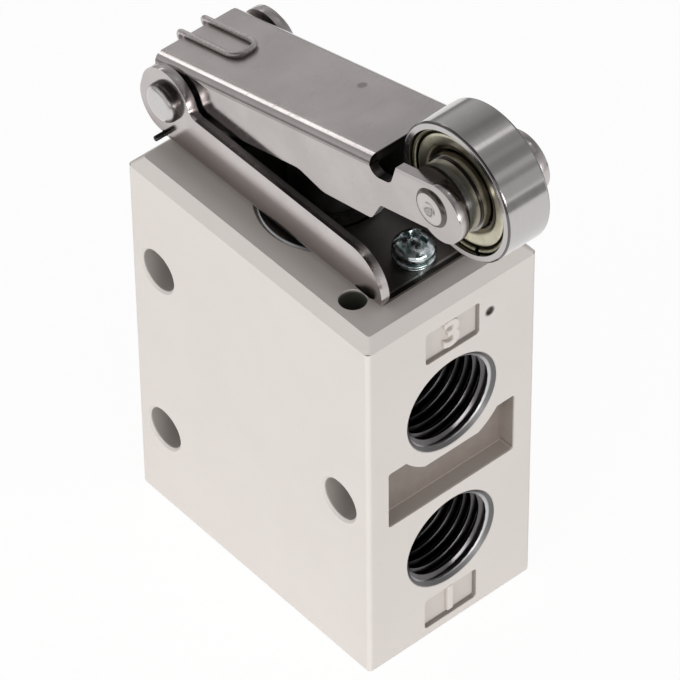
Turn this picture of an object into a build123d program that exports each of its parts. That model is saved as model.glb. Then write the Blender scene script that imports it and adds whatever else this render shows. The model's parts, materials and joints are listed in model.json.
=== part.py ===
from build123d import *
import os
from math import acos, atan2, cos, degrees, hypot, pi, radians, sin, sqrt

# Roller lever air valve, 3/2, with G1/4 ports. Millimetres.
# The roller end and two ports face +X, the third port faces -X, +Z is up.
# The origin is the centre of the block's bottom face.

# Valve block
body_length = 41.2
body_width = 25.0
body_height = 53.4
top_bevel = 1.3
edge_round = 0.6
cross_hole_radius = 2.75
cross_hole_bevel = 0.3
rear_hole_margin = 4.6
rear_hole_spacing = 25.9
front_hole_margin = 5.1
side_hole_radius = 1.65
side_hole_depth = 6.0
side_hole_front_margin = 6.9
side_hole_side_margin = 3.9

# Ports: the outlet is in the rear face, half way between supply and exhaust
outlet_below_middle = 1.2
port_end_room = 8.52
port_thread_radius = 6.58
port_mouth_radius = 6.75
port_depth = 10.0
passage_radius = 3.0

# Recess between the two front ports, and the two label panels
recess_depth = 2.1
recess_half_width = 9.5
recess_below_outlet = 2.75
recess_above_outlet = 6.0
recess_round = 0.4
boss_radius = 8.6
boss_flat_drop = 7.6
panel_width = 8.0
panel_height = 4.8
panel_depth = 0.6
panel_round = 0.5
panel_margin = 1.6
dimple_radius = 0.5
dimple_depth = 0.4
dimple_side = 5.5

# Bore of the block and the stack that it holds
bore_radius = 7.0
bore_floor = 3.0
stack_clearance = 0.05
seal_thickness = 2.0
cage_wall = 2.4
cage_window_radius = 1.7
cage_window_count = 4
cage_groove_depth = 1.0
cage_groove_width = 5.0
running_clearance = 0.03
seal_lip_round = 0.5
seal_count = 4

# Guide bush in the mouth of the bore, with a seal outside and a seal round the push rod
bush_seat_radius = 8.7
bush_seat_depth = 7.0
bush_clearance = 0.12
bush_boss_radius = 5.9
bush_boss_height = 2.5
bush_lip_bevel = 0.4
bush_cord_radius = 0.85
rod_cord_radius = 0.65
bush_groove_drop = 3.5
rod_groove_drop = 1.0
cord_clearance = 0.02
groove_side_room = 0.15

# Spool: it uncovers a seal by these lengths at rest, and its foot stays above the floor
spool_radius = 4.0
waist_radius = 2.6
waist_lead = 0.73
waist_overlap = 1.41
spool_floor_gap = 4.5
spool_top_margin = 0.6
spool_bevel = 0.3

# Return spring under the spool
spring_bore_radius = 2.75
spring_bore_depth = 10.0
spring_wire_radius = 0.3
spring_radius = 2.2
spring_turns = 7

# Push rod with a collar that the bush holds in
plunger_radius = 4.75
collar_radius = 5.3
collar_height = 2.0
collar_clearance = 0.2
collar_headroom = 0.3
dome_radius = 9.0
dome_gap = 0.2

# Bracket, folded from sheet
bracket_sheet = 1.2
bracket_half_width = 8.0
bracket_bend_radius = 2.0
wall_height = 7.2
wall_top_front_margin = 7.8
bracket_front_margin = 3.9
bracket_nose_margin = 2.8
bracket_nose_height = 2.1
bracket_rear_margin = 1.2
ear_radius = 4.2
ear_heel_radius = 4.0
ear_heel_shift = 0.6
ear_heel_drop = 1.3
ear_blend = 1.2
bracket_hole_clearance = 0.2

# Bracket screws and washers, M3
screw_margin = 6.5
screw_radius = 1.5
screw_hole_radius = 1.7
screw_length = 8.0
screw_head_radius = 2.5
screw_head_height = 2.5
screw_head_round = 1.0
washer_radius = 2.6
washer_thickness = 0.7
recess_cross_width = 0.7
recess_cross_length = 2.8
recess_cross_depth = 1.1

# Pivot
pivot_margin = 1.8
pivot_height = 6.8
pin_radius = 1.75
pin_head_radius = 2.5
pin_head_height = 1.2
pin_head_round = 0.9
pin_bevel = 0.25
pin_tail = 1.5
clip_groove_radius = 1.35
clip_thickness = 0.6
clip_radius = 3.2
clip_gap_width = 2.2
clip_relief_ring_radius = 2.1
clip_relief_radius = 0.55
clip_relief_start = -90.0
clip_clearance = 0.05

# Lever, folded from sheet, described along itself from the pivot
lever_angle = 15.2
lever_sheet = 1.2
lever_half_width = 6.4
lever_bend_radius = 1.3
lever_top = 4.27
lug_lower_edge = -2.1
flange_step_start = 21.2
flange_step_end = 25.0
flange_deep_edge = -3.85
flange_front_edge = -4.15
flange_front_end = 33.3
fork_lower_edge = -1.7
fork_root = 35.5
fork_top = 4.7
lug_tail = 3.0
notch_rear = 34.95
notch_front = 38.2
notch_floor = 2.05
notch_lean = 0.6
notch_round = 1.3
flange_step_round = 3.0
flange_corner_round = 1.0
lever_swing = 12.0
axle_along = 44.9
axle_height = 1.48
fork_end_radius = 3.65
fork_end_shift = 0.9
fork_end_drop = 0.43

# Roller: a ball bearing on an axle, held in the fork by two rings
axle_radius = 3.0
slip_clearance = 0.01
bearing_radius = 8.5
bearing_width = 6.0
inner_shoulder_radius = 4.6
outer_shoulder_radius = 6.95
ball_radius = 1.5
ball_count = 7
ball_circle_radius = 5.75
ball_clearance = 0.03
ring_round = 0.3
shield_seat_radius = 7.6
shield_seat_depth = 1.25
shield_thickness = 0.3
shield_hole_radius = 4.75
snap_wire_radius = 0.25
snap_gap_angle = 5.0
snap_gap_turn = 24.0
cage_half_width = 1.7
cage_half_depth = 0.5
pocket_clearance = 0.05
axle_neck_radius = 2.0
axle_head_radius = 2.45
axle_head_height = 0.55
axle_head_round = 0.45
spacer_radius = 4.3

# Torsion spring round the pivot pin, with its loop over the lever
torsion_wire_radius = 0.35
torsion_coil_radius = 2.4
torsion_pitch = 0.82
torsion_turns = 3
loop_half_width = 1.75
loop_back = -4.2
loop_front = 6.4
wire_lift = 0.05
loop_bend = 0.9
loop_nose_round = 1.6
leg_shift = 0.4
leg_tail = 1.4
leg_bend = 0.7
leg_hole_clearance = 0.1

# Levels and places worked out from the sizes above
half_length = body_length / 2
half_width = body_width / 2
front_hole_x = half_length - front_hole_margin
rear_hole_x = rear_hole_margin - half_length
side_hole_x = half_length - side_hole_front_margin
side_hole_y = side_hole_side_margin - half_width
outlet_z = body_height / 2 - outlet_below_middle
port_pitch = (body_height - port_end_room) / seal_count
recess_bottom_z = outlet_z - recess_below_outlet
recess_top_z = outlet_z + recess_above_outlet
supply_z = outlet_z - port_pitch
exhaust_z = outlet_z + port_pitch
first_seal_z = outlet_z - port_pitch * (seal_count - 1) / 2 - seal_thickness / 2
seal_bottoms = [first_seal_z + port_pitch * k for k in range(seal_count)]
seal_tops = [bottom + seal_thickness for bottom in seal_bottoms]
stack_radius = bore_radius - stack_clearance
bush_seat_z = body_height - bush_seat_depth
bracket_top = body_height + bracket_sheet
bracket_inner = bracket_half_width - bracket_sheet
bracket_front_x = half_length - bracket_front_margin
bracket_nose_x = half_length - bracket_nose_margin
bracket_rear_x = bracket_rear_margin - half_length
wall_top_front_x = half_length - wall_top_front_margin
wall_top = body_height + wall_height
screw_x = half_length - screw_margin
pivot_x = pivot_margin - half_length
pivot_z = body_height + pivot_height
lever_inner = lever_half_width - lever_sheet
lever_under = lever_top - lever_sheet
cut_reach = body_length + body_height
snug = 0.01


def dome_centre_z(angle):
    """Height of the push rod's dome centre when the lever above it stands at this angle."""
    stand_off = lever_under - dome_radius - dome_gap
    return pivot_z + (stand_off - pivot_x * sin(radians(angle))) / cos(radians(angle))


dome_z = dome_centre_z(lever_angle)
plunger_travel = dome_z - dome_centre_z(lever_angle - lever_swing)
spool_top = seal_tops[-1] + plunger_travel + spool_top_margin
spool_bottom = bore_floor + spool_floor_gap
collar_top = spool_top + collar_height

# Planes of the lever, along its side and across it at the pivot, and the axles' planes and axes
tilt = radians(lever_angle)
along = Vector(cos(tilt), 0, sin(tilt))
upward = Vector(-sin(tilt), 0, cos(tilt))
pivot_point = Vector(pivot_x, 0, pivot_z)
lever_side = Plane(origin=pivot_point, x_dir=along, z_dir=(0, -1, 0))
lever_section = Plane(origin=pivot_point, x_dir=(0, 1, 0), z_dir=along)
axle_point = pivot_point + along * axle_along + upward * axle_height
axle_plane = Plane(origin=axle_point, x_dir=(1, 0, 0), z_dir=(0, 0, 1))
axle_axis = Axis(axle_point, (0, 1, 0))
pivot_plane = Plane(origin=pivot_point, x_dir=(1, 0, 0), z_dir=(0, 0, 1))
pivot_axis = Axis(pivot_point, (0, 1, 0))

os.makedirs("parts", exist_ok=True)


def save(part, name):
    part.label = name
    export_step(part, f"parts/{name}.step")


def folded_section(plane, half_width, web, edge, sheet, bend):
    """U section of a folded sheet: its web at one height, and two flanges that end at another."""
    inner = half_width - sheet
    under = web + sheet if edge > web else web - sheet
    outside = [(-half_width, edge), (-half_width, web), (half_width, web), (half_width, edge)]
    inside = [(inner, edge), (inner, under), (-inner, under), (-inner, edge)]
    with BuildSketch(plane) as section:
        with BuildLine():
            rounds = [0, bend, bend, 0, 0, bend - sheet, bend - sheet, 0]
            FilletPolyline(*outside, *inside, radius=rounds, close=True)
        make_face()
    return section.sketch


def cross_drill(point, radius, y_from, y_to):
    """Round hole along Y in the current part."""
    with Locations(Plane(origin=(point.X, y_from, point.Z), z_dir=(0, 1, 0))):
        Cylinder(radius, y_to - y_from, align=(Align.CENTER, Align.CENTER, Align.MIN), mode=Mode.SUBTRACT)


# Valve block
with BuildPart() as body:
    Box(body_length, body_width, body_height, align=(Align.CENTER, Align.CENTER, Align.MIN))
    chamfer(body.edges().group_by(Axis.Z)[-1], top_bevel)
    rising = body.edges().filter_by(lambda e: abs((e % 0).Z) > snug)
    fillet(rising + body.edges().group_by(Axis.Z)[0], edge_round)
    # Bore, seat of the guide bush, holes for the bracket screws and the small side hole
    with Locations((0, 0, body_height)):
        Hole(bore_radius, depth=body_height - bore_floor)
        Hole(bush_seat_radius, depth=bush_seat_depth)
    with Locations((screw_x, 0, body_height), (-screw_x, 0, body_height)):
        Hole(screw_radius, depth=screw_length)
    with Locations((side_hole_x, side_hole_y, body_height)):
        Hole(side_hole_radius, depth=side_hole_depth)
    # Ports, each with a bevelled mouth and a passage into the bore
    for side, level in ((1, supply_z), (-1, outlet_z), (1, exhaust_z)):
        face = Plane(origin=(side * half_length, 0, level), z_dir=(side, 0, 0))
        with Locations(face):
            CounterSinkHole(port_thread_radius, port_mouth_radius, depth=port_depth)
            Hole(passage_radius, depth=half_length)
    # Recess between the front ports, cut short by the boss of the upper one
    front = Plane(origin=(half_length, 0, 0), x_dir=(0, 1, 0), z_dir=(1, 0, 0))
    with BuildSketch(front):
        with Locations((0, (recess_bottom_z + recess_top_z) / 2)):
            RectangleRounded(2 * recess_half_width, recess_top_z - recess_bottom_z, recess_round)
        with Locations((0, exhaust_z)):
            Circle(boss_radius, mode=Mode.SUBTRACT)
        flat_half = sqrt(boss_radius**2 - boss_flat_drop**2)
        flat_z = exhaust_z - boss_flat_drop
        with Locations((0, (recess_bottom_z + flat_z) / 2)):
            Rectangle(2 * flat_half, flat_z - recess_bottom_z)
    extrude(amount=-recess_depth, mode=Mode.SUBTRACT)
    # Label panels above and below the front ports
    panel_low_z = panel_margin + panel_height / 2
    panel_high_z = body_height - top_bevel - panel_margin - panel_height / 2 - edge_round
    with BuildSketch(front):
        with Locations((0, panel_low_z), (0, panel_high_z)):
            RectangleRounded(panel_width, panel_height, panel_round)
    extrude(amount=-panel_depth, mode=Mode.SUBTRACT)
    with Locations(front):
        with Locations((dimple_side, panel_high_z, 0)):
            Hole(dimple_radius, depth=dimple_depth)
    # Cross holes, open on both wide faces
    wide_face = Plane(origin=(0, -half_width, 0), x_dir=(1, 0, 0), z_dir=(0, -1, 0))
    rear_holes = [(rear_hole_x, outlet_z + side * rear_hole_spacing / 2) for side in (-1, 1)]
    with BuildSketch(wide_face):
        with Locations((front_hole_x, outlet_z), *rear_holes):
            Circle(cross_hole_radius)
    extrude(amount=-body_width, mode=Mode.SUBTRACT)
    rims = body.edges().filter_by(GeomType.CIRCLE)
    rims = rims.filter_by(lambda e: abs(e.radius - cross_hole_radius) < snug)
    rims = rims.filter_by(lambda e: abs(e.arc_center.Y) > half_width - snug)
    chamfer(rims, cross_hole_bevel)
save(body.part, "body")

# Stack in the bore, from the floor up: spacer, then seals with a port cage between each two
with BuildPart() as bottom_spacer:
    with BuildSketch(Plane.XY.offset(bore_floor)):
        Circle(stack_radius)
        Circle(stack_radius - cage_wall, mode=Mode.SUBTRACT)
    extrude(amount=seal_bottoms[0] - bore_floor)
save(bottom_spacer.part, "bottom_spacer")

for k in range(seal_count):
    with BuildPart() as spool_seal:
        with BuildSketch(Plane.XY.offset(seal_bottoms[k])):
            Circle(bore_radius - cord_clearance)
            Circle(spool_radius + cord_clearance, mode=Mode.SUBTRACT)
        extrude(amount=seal_thickness)
        lips = spool_seal.edges().filter_by(GeomType.CIRCLE)
        fillet(lips.filter_by(lambda e: e.radius < stack_radius - cage_wall), seal_lip_round)
    save(spool_seal.part, f"spool_seal_{k + 1}")

for k, cage_name in enumerate(("supply_cage", "outlet_cage", "exhaust_cage")):
    cage_floor = seal_tops[k]
    cage_height = seal_bottoms[k + 1] - cage_floor
    with BuildPart() as port_cage:
        with BuildSketch(Plane.XY.offset(cage_floor)):
            Circle(stack_radius)
            Circle(stack_radius - cage_wall, mode=Mode.SUBTRACT)
        extrude(amount=cage_height)
        with BuildSketch(Plane.XY.offset(cage_floor + (cage_height - cage_groove_width) / 2)):
            Circle(bore_radius)
            Circle(stack_radius - cage_groove_depth, mode=Mode.SUBTRACT)
        extrude(amount=cage_groove_width, mode=Mode.SUBTRACT)
        for n in range(cage_window_count):
            turn = radians(360 * n / cage_window_count)
            outward = (cos(turn), sin(turn), 0)
            with Locations(Plane(origin=(0, 0, cage_floor + cage_height / 2), z_dir=outward)):
                Cylinder(
                    cage_window_radius,
                    bore_radius,
                    align=(Align.CENTER, Align.CENTER, Align.MIN),
                    mode=Mode.SUBTRACT,
                )
    save(port_cage.part, cage_name)

# Spool: two lands with a waist between them, and a spring bore in its foot
with BuildPart() as spool:
    with BuildSketch(Plane.XY.offset(spool_bottom)):
        Circle(spool_radius)
    extrude(amount=spool_top - spool_bottom)
    chamfer(spool.edges().group_by(Axis.Z)[0], spool_bevel)
    waist_bottom = seal_tops[1] + waist_lead
    waist_top = seal_tops[2] + waist_overlap
    with BuildSketch(Plane.XY.offset(waist_bottom)):
        Circle(spool_radius)
        Circle(waist_radius, mode=Mode.SUBTRACT)
    extrude(amount=waist_top - waist_bottom, mode=Mode.SUBTRACT)
    with BuildSketch(Plane.XY.offset(spool_bottom)):
        Circle(spring_bore_radius)
    extrude(amount=spring_bore_depth, mode=Mode.SUBTRACT)
save(spool.part, "spool")

# Return spring, standing on the floor of the bore
with BuildPart() as return_spring:
    spring_start = bore_floor + spring_wire_radius
    spring_end = spool_bottom + spring_bore_depth - spring_wire_radius
    with BuildLine() as spring_line:
        Helix(
            (spring_end - spring_start) / spring_turns,
            spring_end - spring_start,
            spring_radius,
            center=(0, 0, spring_start),
        )
    with BuildSketch(Plane(origin=spring_line.line @ 0, z_dir=spring_line.line % 0)):
        Circle(spring_wire_radius)
    sweep(path=spring_line.line, is_frenet=True)
save(return_spring.part, "return_spring")

# Guide bush, with a nose on the stack, a flange in its seat and a boss through the bracket
bush_radius = bush_seat_radius - bush_clearance
guide_radius = plunger_radius + running_clearance
bush_cord_centre = bush_seat_radius - cord_clearance - bush_cord_radius
bush_cord_z = body_height - bush_groove_drop
rod_cord_centre = plunger_radius + cord_clearance + rod_cord_radius
rod_cord_z = body_height - rod_groove_drop
with BuildPart() as guide_bush:
    with BuildSketch(Plane.XZ):
        Polygon(
            (guide_radius, collar_top + collar_headroom),
            (collar_radius + collar_clearance, collar_top + collar_headroom),
            (collar_radius + collar_clearance, seal_tops[-1]),
            (stack_radius, seal_tops[-1]),
            (stack_radius, bush_seat_z),
            (bush_radius, bush_seat_z),
            (bush_radius, body_height - bush_lip_bevel),
            (bush_radius - bush_lip_bevel, body_height),
            (bush_boss_radius, body_height),
            (bush_boss_radius, body_height + bush_boss_height),
            (guide_radius, body_height + bush_boss_height),
            align=None,
        )
        for centre, level, cord, side in (
            (bush_cord_centre, bush_cord_z, bush_cord_radius, 1),
            (rod_cord_centre, rod_cord_z, rod_cord_radius, -1),
        ):
            groove_depth = 2 * (cord + groove_side_room)
            groove_middle = centre - side * (cord + cord_clearance) + side * groove_depth / 2
            with Locations((groove_middle, level)):
                Rectangle(groove_depth, groove_depth, mode=Mode.SUBTRACT)
    revolve(axis=Axis.Z)
save(guide_bush.part, "guide_bush")

with BuildPart() as bush_seal:
    with BuildSketch(Plane.XZ):
        with Locations((bush_cord_centre, bush_cord_z)):
            Circle(bush_cord_radius)
    revolve(axis=Axis.Z)
save(bush_seal.part, "bush_seal")

with BuildPart() as plunger_seal:
    with BuildSketch(Plane.XZ):
        with Locations((rod_cord_centre, rod_cord_z)):
            Circle(rod_cord_radius)
    revolve(axis=Axis.Z)
save(plunger_seal.part, "plunger_seal")

# Push rod: collar on the spool's head, and a dome under the lever
with BuildPart() as plunger:
    with BuildSketch(Plane.XZ):
        with BuildLine():
            shoulder = dome_z + sqrt(dome_radius**2 - plunger_radius**2)
            crown = (0, dome_z + dome_radius)
            Polyline(
                crown,
                (0, spool_top),
                (collar_radius, spool_top),
                (collar_radius, collar_top),
                (plunger_radius, collar_top),
                (plunger_radius, shoulder),
            )
            half_chord = plunger_radius / 2
            half_way = (half_chord, dome_z + sqrt(dome_radius**2 - half_chord**2))
            ThreePointArc((plunger_radius, shoulder), half_way, crown)
        make_face()
    revolve(axis=Axis.Z)
save(plunger.part, "plunger")

# Bracket: a channel cut to its side outline, with ears round the pivot
leg_point = Vector(pivot_x - leg_shift, 0, bracket_top + torsion_wire_radius + wire_lift)
with BuildPart() as bracket:
    bracket_section = Plane(origin=(-cut_reach / 2, 0, 0), x_dir=(0, 1, 0), z_dir=(1, 0, 0))
    channel = folded_section(
        bracket_section,
        bracket_half_width,
        body_height,
        wall_top + pivot_height,
        bracket_sheet,
        bracket_bend_radius,
    )
    extrude(channel, amount=cut_reach)
    with BuildSketch(Plane.XZ) as ear:
        with Locations((pivot_x, pivot_z)):
            Circle(ear_radius)
        with Locations((pivot_x - ear_heel_shift, pivot_z - ear_heel_drop)):
            Circle(ear_heel_radius)
        make_hull(ear.edges())
    with BuildSketch(Plane.XZ) as outline:
        with BuildLine():
            Polyline(
                (wall_top_front_x, wall_top),
                (pivot_x, wall_top),
                (bracket_rear_x, wall_top),
                (bracket_rear_x, body_height),
                (bracket_front_x, body_height),
                (bracket_nose_x, body_height + bracket_nose_height),
            )
            nose = (bracket_nose_x, body_height + bracket_nose_height)
            TangentArc((wall_top_front_x, wall_top), nose, tangent=(1, 0))
        make_face()
        add(ear.sketch_local)
        corner = outline.vertices().filter_by_position(Axis.Y, wall_top - snug, wall_top + snug)
        fillet(corner.sort_by(Axis.X)[0], ear_blend)
    extrude(outline.sketch, amount=body_width, both=True, mode=Mode.INTERSECT)
    # Behind the base plate only the two ears go on
    with Locations((bracket_rear_x, 0, body_height)):
        rear = (Align.MAX, Align.CENTER, Align.MIN)
        Box(body_length, 2 * bracket_inner, bracket_bend_radius, align=rear, mode=Mode.SUBTRACT)
    with Locations((0, 0, bracket_top)):
        Hole(bush_boss_radius + bracket_hole_clearance, depth=bracket_sheet)
    with Locations((screw_x, 0, bracket_top), (-screw_x, 0, bracket_top)):
        Hole(screw_hole_radius, depth=bracket_sheet)
    cross_drill(pivot_point, pin_radius + slip_clearance, -bracket_half_width, bracket_half_width)
    leg_hole_radius = torsion_wire_radius + leg_hole_clearance
    for side in (-1, 1):
        wall_span = sorted((side * lever_inner, side * bracket_half_width))
        cross_drill(leg_point, leg_hole_radius, *wall_span)
save(bracket.part, "bracket")


# Lever: a channel and a fork, both cut to one side outline
with BuildPart() as lever:
    fork_end_along = axle_along + fork_end_shift
    reach = fork_end_along + fork_end_radius
    shell = folded_section(
        lever_section.offset(-lever_top),
        lever_half_width,
        lever_top,
        -lever_top,
        lever_sheet,
        lever_bend_radius,
    )
    extrude(shell, amount=lever_top + (notch_rear + notch_front) / 2)
    with BuildSketch(lever_section.offset(notch_rear)):
        for side in (-1, 1):
            with Locations((side * (lever_half_width - lever_sheet / 2), 0)):
                Rectangle(lever_sheet, 2 * body_width)
    extrude(amount=reach - notch_rear)
    front_rounds = [0, flange_corner_round, flange_corner_round]
    flank_rounds = [0, 0, *front_rounds, flange_step_round, flange_step_round, 0]
    with BuildSketch(lever_side) as flank:
        with BuildLine():
            FilletPolyline(
                (-lug_tail, fork_top),
                (fork_end_along, fork_top),
                (fork_end_along, fork_lower_edge),
                (fork_root, fork_lower_edge),
                (flange_front_end, flange_front_edge),
                (flange_step_end, flange_deep_edge),
                (flange_step_start, lug_lower_edge),
                (-lug_tail, lug_lower_edge),
                radius=flank_rounds,
                close=True,
            )
        make_face()
        Circle(lever_top)
        with Locations((fork_end_along, axle_height - fork_end_drop)):
            Circle(fork_end_radius)
        with BuildLine():
            notch_mouth = fork_top + notch_floor
            FilletPolyline(
                (notch_rear, notch_mouth),
                (notch_rear, notch_floor),
                (notch_front, notch_floor),
                (notch_front + notch_lean * (notch_mouth - notch_floor), notch_mouth),
                radius=[0, notch_round, notch_round, 0],
                close=True,
            )
        make_face(mode=Mode.SUBTRACT)
    extrude(flank.sketch, amount=body_width, both=True, mode=Mode.INTERSECT)
    cross_drill(pivot_point, pin_radius + running_clearance, -lever_half_width, lever_half_width)
    cross_drill(axle_point, axle_neck_radius + slip_clearance, -lever_half_width, lever_half_width)
save(lever.part, "lever")

# Pivot pin: a round head outside the near ear, and a groove for the clip outside the far ear
with BuildPart() as pivot_pin:
    with BuildSketch(pivot_plane):
        head_face = -bracket_half_width - pin_head_height
        clip_end = bracket_half_width + clip_thickness + clip_clearance
        Polygon(
            (0, head_face),
            (pin_head_radius, head_face),
            (pin_head_radius, -bracket_half_width),
            (pin_radius, -bracket_half_width),
            (pin_radius, bracket_half_width),
            (clip_groove_radius, bracket_half_width),
            (clip_groove_radius, clip_end),
            (pin_radius, clip_end),
            (pin_radius, bracket_half_width + pin_tail),
            (0, bracket_half_width + pin_tail),
            align=None,
        )
    revolve(axis=pivot_axis)
    rims = pivot_pin.edges().filter_by(GeomType.CIRCLE).sort_by(Axis.Y)
    fillet(rims[0], pin_head_round)
    chamfer(rims[-1], pin_bevel)
save(pivot_pin.part, "pivot_pin")

with BuildPart() as pin_clip:
    clip_plane = Plane(
        origin=(pivot_x, bracket_half_width + clip_clearance / 2, pivot_z), x_dir=(1, 0, 0), z_dir=(0, 1, 0)
    )
    with BuildSketch(clip_plane):
        Circle(clip_radius)
        Circle(clip_groove_radius + clip_clearance, mode=Mode.SUBTRACT)
        with Locations((0, clip_radius / 2)):
            Rectangle(clip_gap_width, clip_radius, mode=Mode.SUBTRACT)
        with PolarLocations(clip_relief_ring_radius, 2, start_angle=clip_relief_start, angular_range=180):
            Circle(clip_relief_radius, mode=Mode.SUBTRACT)
    extrude(amount=clip_thickness)
save(pin_clip.part, "pin_clip")

# Roller axle with a neck through each fork arm and a riveted head outside it
with BuildPart() as roller_axle:
    with BuildSketch(axle_plane):
        with Locations((axle_radius / 2, 0)):
            Rectangle(axle_radius, 2 * lever_inner)
        with Locations((axle_neck_radius / 2, 0)):
            Rectangle(axle_neck_radius, 2 * lever_half_width)
        for side in (-1, 1):
            with Locations((axle_head_radius / 2, side * (lever_half_width + axle_head_height / 2))):
                Rectangle(axle_head_radius, axle_head_height)
    revolve(axis=axle_axis)
    rims = roller_axle.edges().filter_by(GeomType.CIRCLE).group_by(Axis.Y)
    fillet(rims[0] + rims[-1], axle_head_round)
save(roller_axle.part, "roller_axle")

# Rings that keep the bearing in the middle of the fork
for side, spacer_name in ((-1, "roller_spacer_near"), (1, "roller_spacer_far")):
    with BuildPart() as spacer:
        with BuildSketch(axle_plane):
            spacer_wall = spacer_radius - axle_radius - slip_clearance
            spacer_length = lever_inner - bearing_width / 2
            spacer_middle = (bearing_width / 2 + lever_inner) / 2
            with Locations((spacer_radius - spacer_wall / 2, side * spacer_middle)):
                Rectangle(spacer_wall, spacer_length)
        revolve(axis=axle_axis)
    save(spacer.part, spacer_name)

# Bearing rings, each with the groove that its balls run in
with BuildPart() as bearing_inner_ring:
    with BuildSketch(axle_plane):
        inner_wall = inner_shoulder_radius - axle_radius - slip_clearance
        with Locations((inner_shoulder_radius - inner_wall / 2, 0)):
            Rectangle(inner_wall, bearing_width)
        with Locations((ball_circle_radius, 0)):
            Circle(ball_radius + ball_clearance, mode=Mode.SUBTRACT)
    revolve(axis=axle_axis)
save(bearing_inner_ring.part, "bearing_inner_ring")

with BuildPart() as bearing_outer_ring:
    with BuildSketch(axle_plane):
        outer_wall = bearing_radius - outer_shoulder_radius
        with Locations((bearing_radius - outer_wall / 2, 0)):
            Rectangle(outer_wall, bearing_width)
        seat_wall = shield_seat_radius - outer_shoulder_radius
        seat_middle = (bearing_width - shield_seat_depth) / 2
        for side in (-1, 1):
            with Locations((shield_seat_radius - seat_wall / 2, side * seat_middle)):
                Rectangle(seat_wall, shield_seat_depth, mode=Mode.SUBTRACT)
        with Locations((ball_circle_radius, 0)):
            Circle(ball_radius + ball_clearance, mode=Mode.SUBTRACT)
    revolve(axis=axle_axis)
    rims = bearing_outer_ring.edges().filter_by(GeomType.CIRCLE)
    fillet(rims.filter_by(lambda e: e.radius > bearing_radius - snug), ring_round)
save(bearing_outer_ring.part, "bearing_outer_ring")

# Shields on their seats in the outer ring, each held by a split snap ring
shield_inside = bearing_width / 2 - shield_seat_depth
snap_start = radians(snap_gap_angle / 2 - snap_gap_turn)
snap_plane = Plane(
    origin=axle_point,
    x_dir=(-sin(snap_start), 0, -cos(snap_start)),
    z_dir=(cos(snap_start), 0, -sin(snap_start)),
)
for side, suffix in ((-1, "near"), (1, "far")):
    with BuildPart() as shield:
        with BuildSketch(axle_plane):
            shield_wall = shield_seat_radius - slip_clearance - shield_hole_radius
            shield_middle = shield_inside + shield_thickness / 2
            with Locations((shield_hole_radius + shield_wall / 2, side * shield_middle)):
                Rectangle(shield_wall, shield_thickness)
        revolve(axis=axle_axis)
    save(shield.part, f"bearing_shield_{suffix}")
    with BuildPart() as snap_ring:
        with BuildSketch(snap_plane):
            snap_y = shield_inside + shield_thickness + snap_wire_radius
            with Locations((shield_seat_radius - slip_clearance - snap_wire_radius, side * snap_y)):
                Circle(snap_wire_radius)
        revolve(axis=axle_axis, revolution_arc=360 - snap_gap_angle)
    save(snap_ring.part, f"bearing_snap_ring_{suffix}")

# Balls, and the cage that spaces them
ball_angles = [radians(360 * k / ball_count) for k in range(ball_count)]
ball_points = [
    axle_point + Vector(ball_circle_radius * cos(a), 0, ball_circle_radius * sin(a))
    for a in ball_angles
]
with BuildPart() as bearing_balls:
    with Locations(*ball_points):
        Sphere(ball_radius)
save(bearing_balls.part, "bearing_balls")

with BuildPart() as bearing_cage:
    with BuildSketch(axle_plane):
        with Locations((ball_circle_radius, 0)):
            Rectangle(2 * cage_half_depth, 2 * cage_half_width)
    revolve(axis=axle_axis)
    for a in ball_angles:
        with Locations(Plane(origin=axle_point, z_dir=(cos(a), 0, sin(a)))):
            pocket_base = (Align.CENTER, Align.CENTER, Align.MIN)
            Cylinder(ball_radius + pocket_clearance, bearing_radius, align=pocket_base, mode=Mode.SUBTRACT)
save(bearing_cage.part, "bearing_cage")

# Bracket screws with a cross recess, and their washers
for side, suffix in ((1, "front"), (-1, "rear")):
    with BuildPart() as washer:
        with BuildSketch(Plane.XY.offset(bracket_top)):
            with Locations((side * screw_x, 0)):
                Circle(washer_radius)
                Circle(screw_hole_radius, mode=Mode.SUBTRACT)
        extrude(amount=washer_thickness)
    save(washer.part, f"bracket_washer_{suffix}")
    head_z = bracket_top + washer_thickness
    with BuildPart() as screw:
        with BuildSketch(Plane.XY.offset(head_z)):
            with Locations((side * screw_x, 0)):
                Circle(screw_head_radius)
        extrude(amount=screw_head_height)
        fillet(screw.edges().group_by(Axis.Z)[-1], screw_head_round)
        with BuildSketch(Plane.XY.offset(head_z)):
            with Locations((side * screw_x, 0)):
                Circle(screw_radius - cord_clearance)
        extrude(amount=-screw_length)
        with BuildSketch(Plane.XY.offset(head_z + screw_head_height)):
            with Locations((side * screw_x, 0)):
                Rectangle(recess_cross_length, recess_cross_width)
                Rectangle(recess_cross_width, recess_cross_length)
        extrude(amount=-recess_cross_depth, mode=Mode.SUBTRACT)
    save(screw.part, f"bracket_screw_{suffix}")

# Torsion spring: a leg out through each ear, a coil round the pin, a loop over the lever's rear.
# Angles about the pivot are counted from +X towards +Z.


def tangent_angle(point, side):
    """Angle of the coil's point whose tangent reaches this point beside the pivot."""
    arm = point - pivot_point
    return atan2(arm.Z, arm.X) + side * acos(torsion_coil_radius / hypot(arm.X, arm.Z))


def tangent_drift(point):
    """How far a wire drifts along Y on its way from the coil to this point."""
    arm = point - pivot_point
    run = sqrt(arm.X**2 + arm.Z**2 - torsion_coil_radius**2)
    return run * torsion_pitch / (2 * pi * torsion_coil_radius)


def coil_point(angle, y):
    radial = Vector(cos(angle), 0, sin(angle)) * torsion_coil_radius
    return pivot_point + radial + Vector(0, y, 0)


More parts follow.
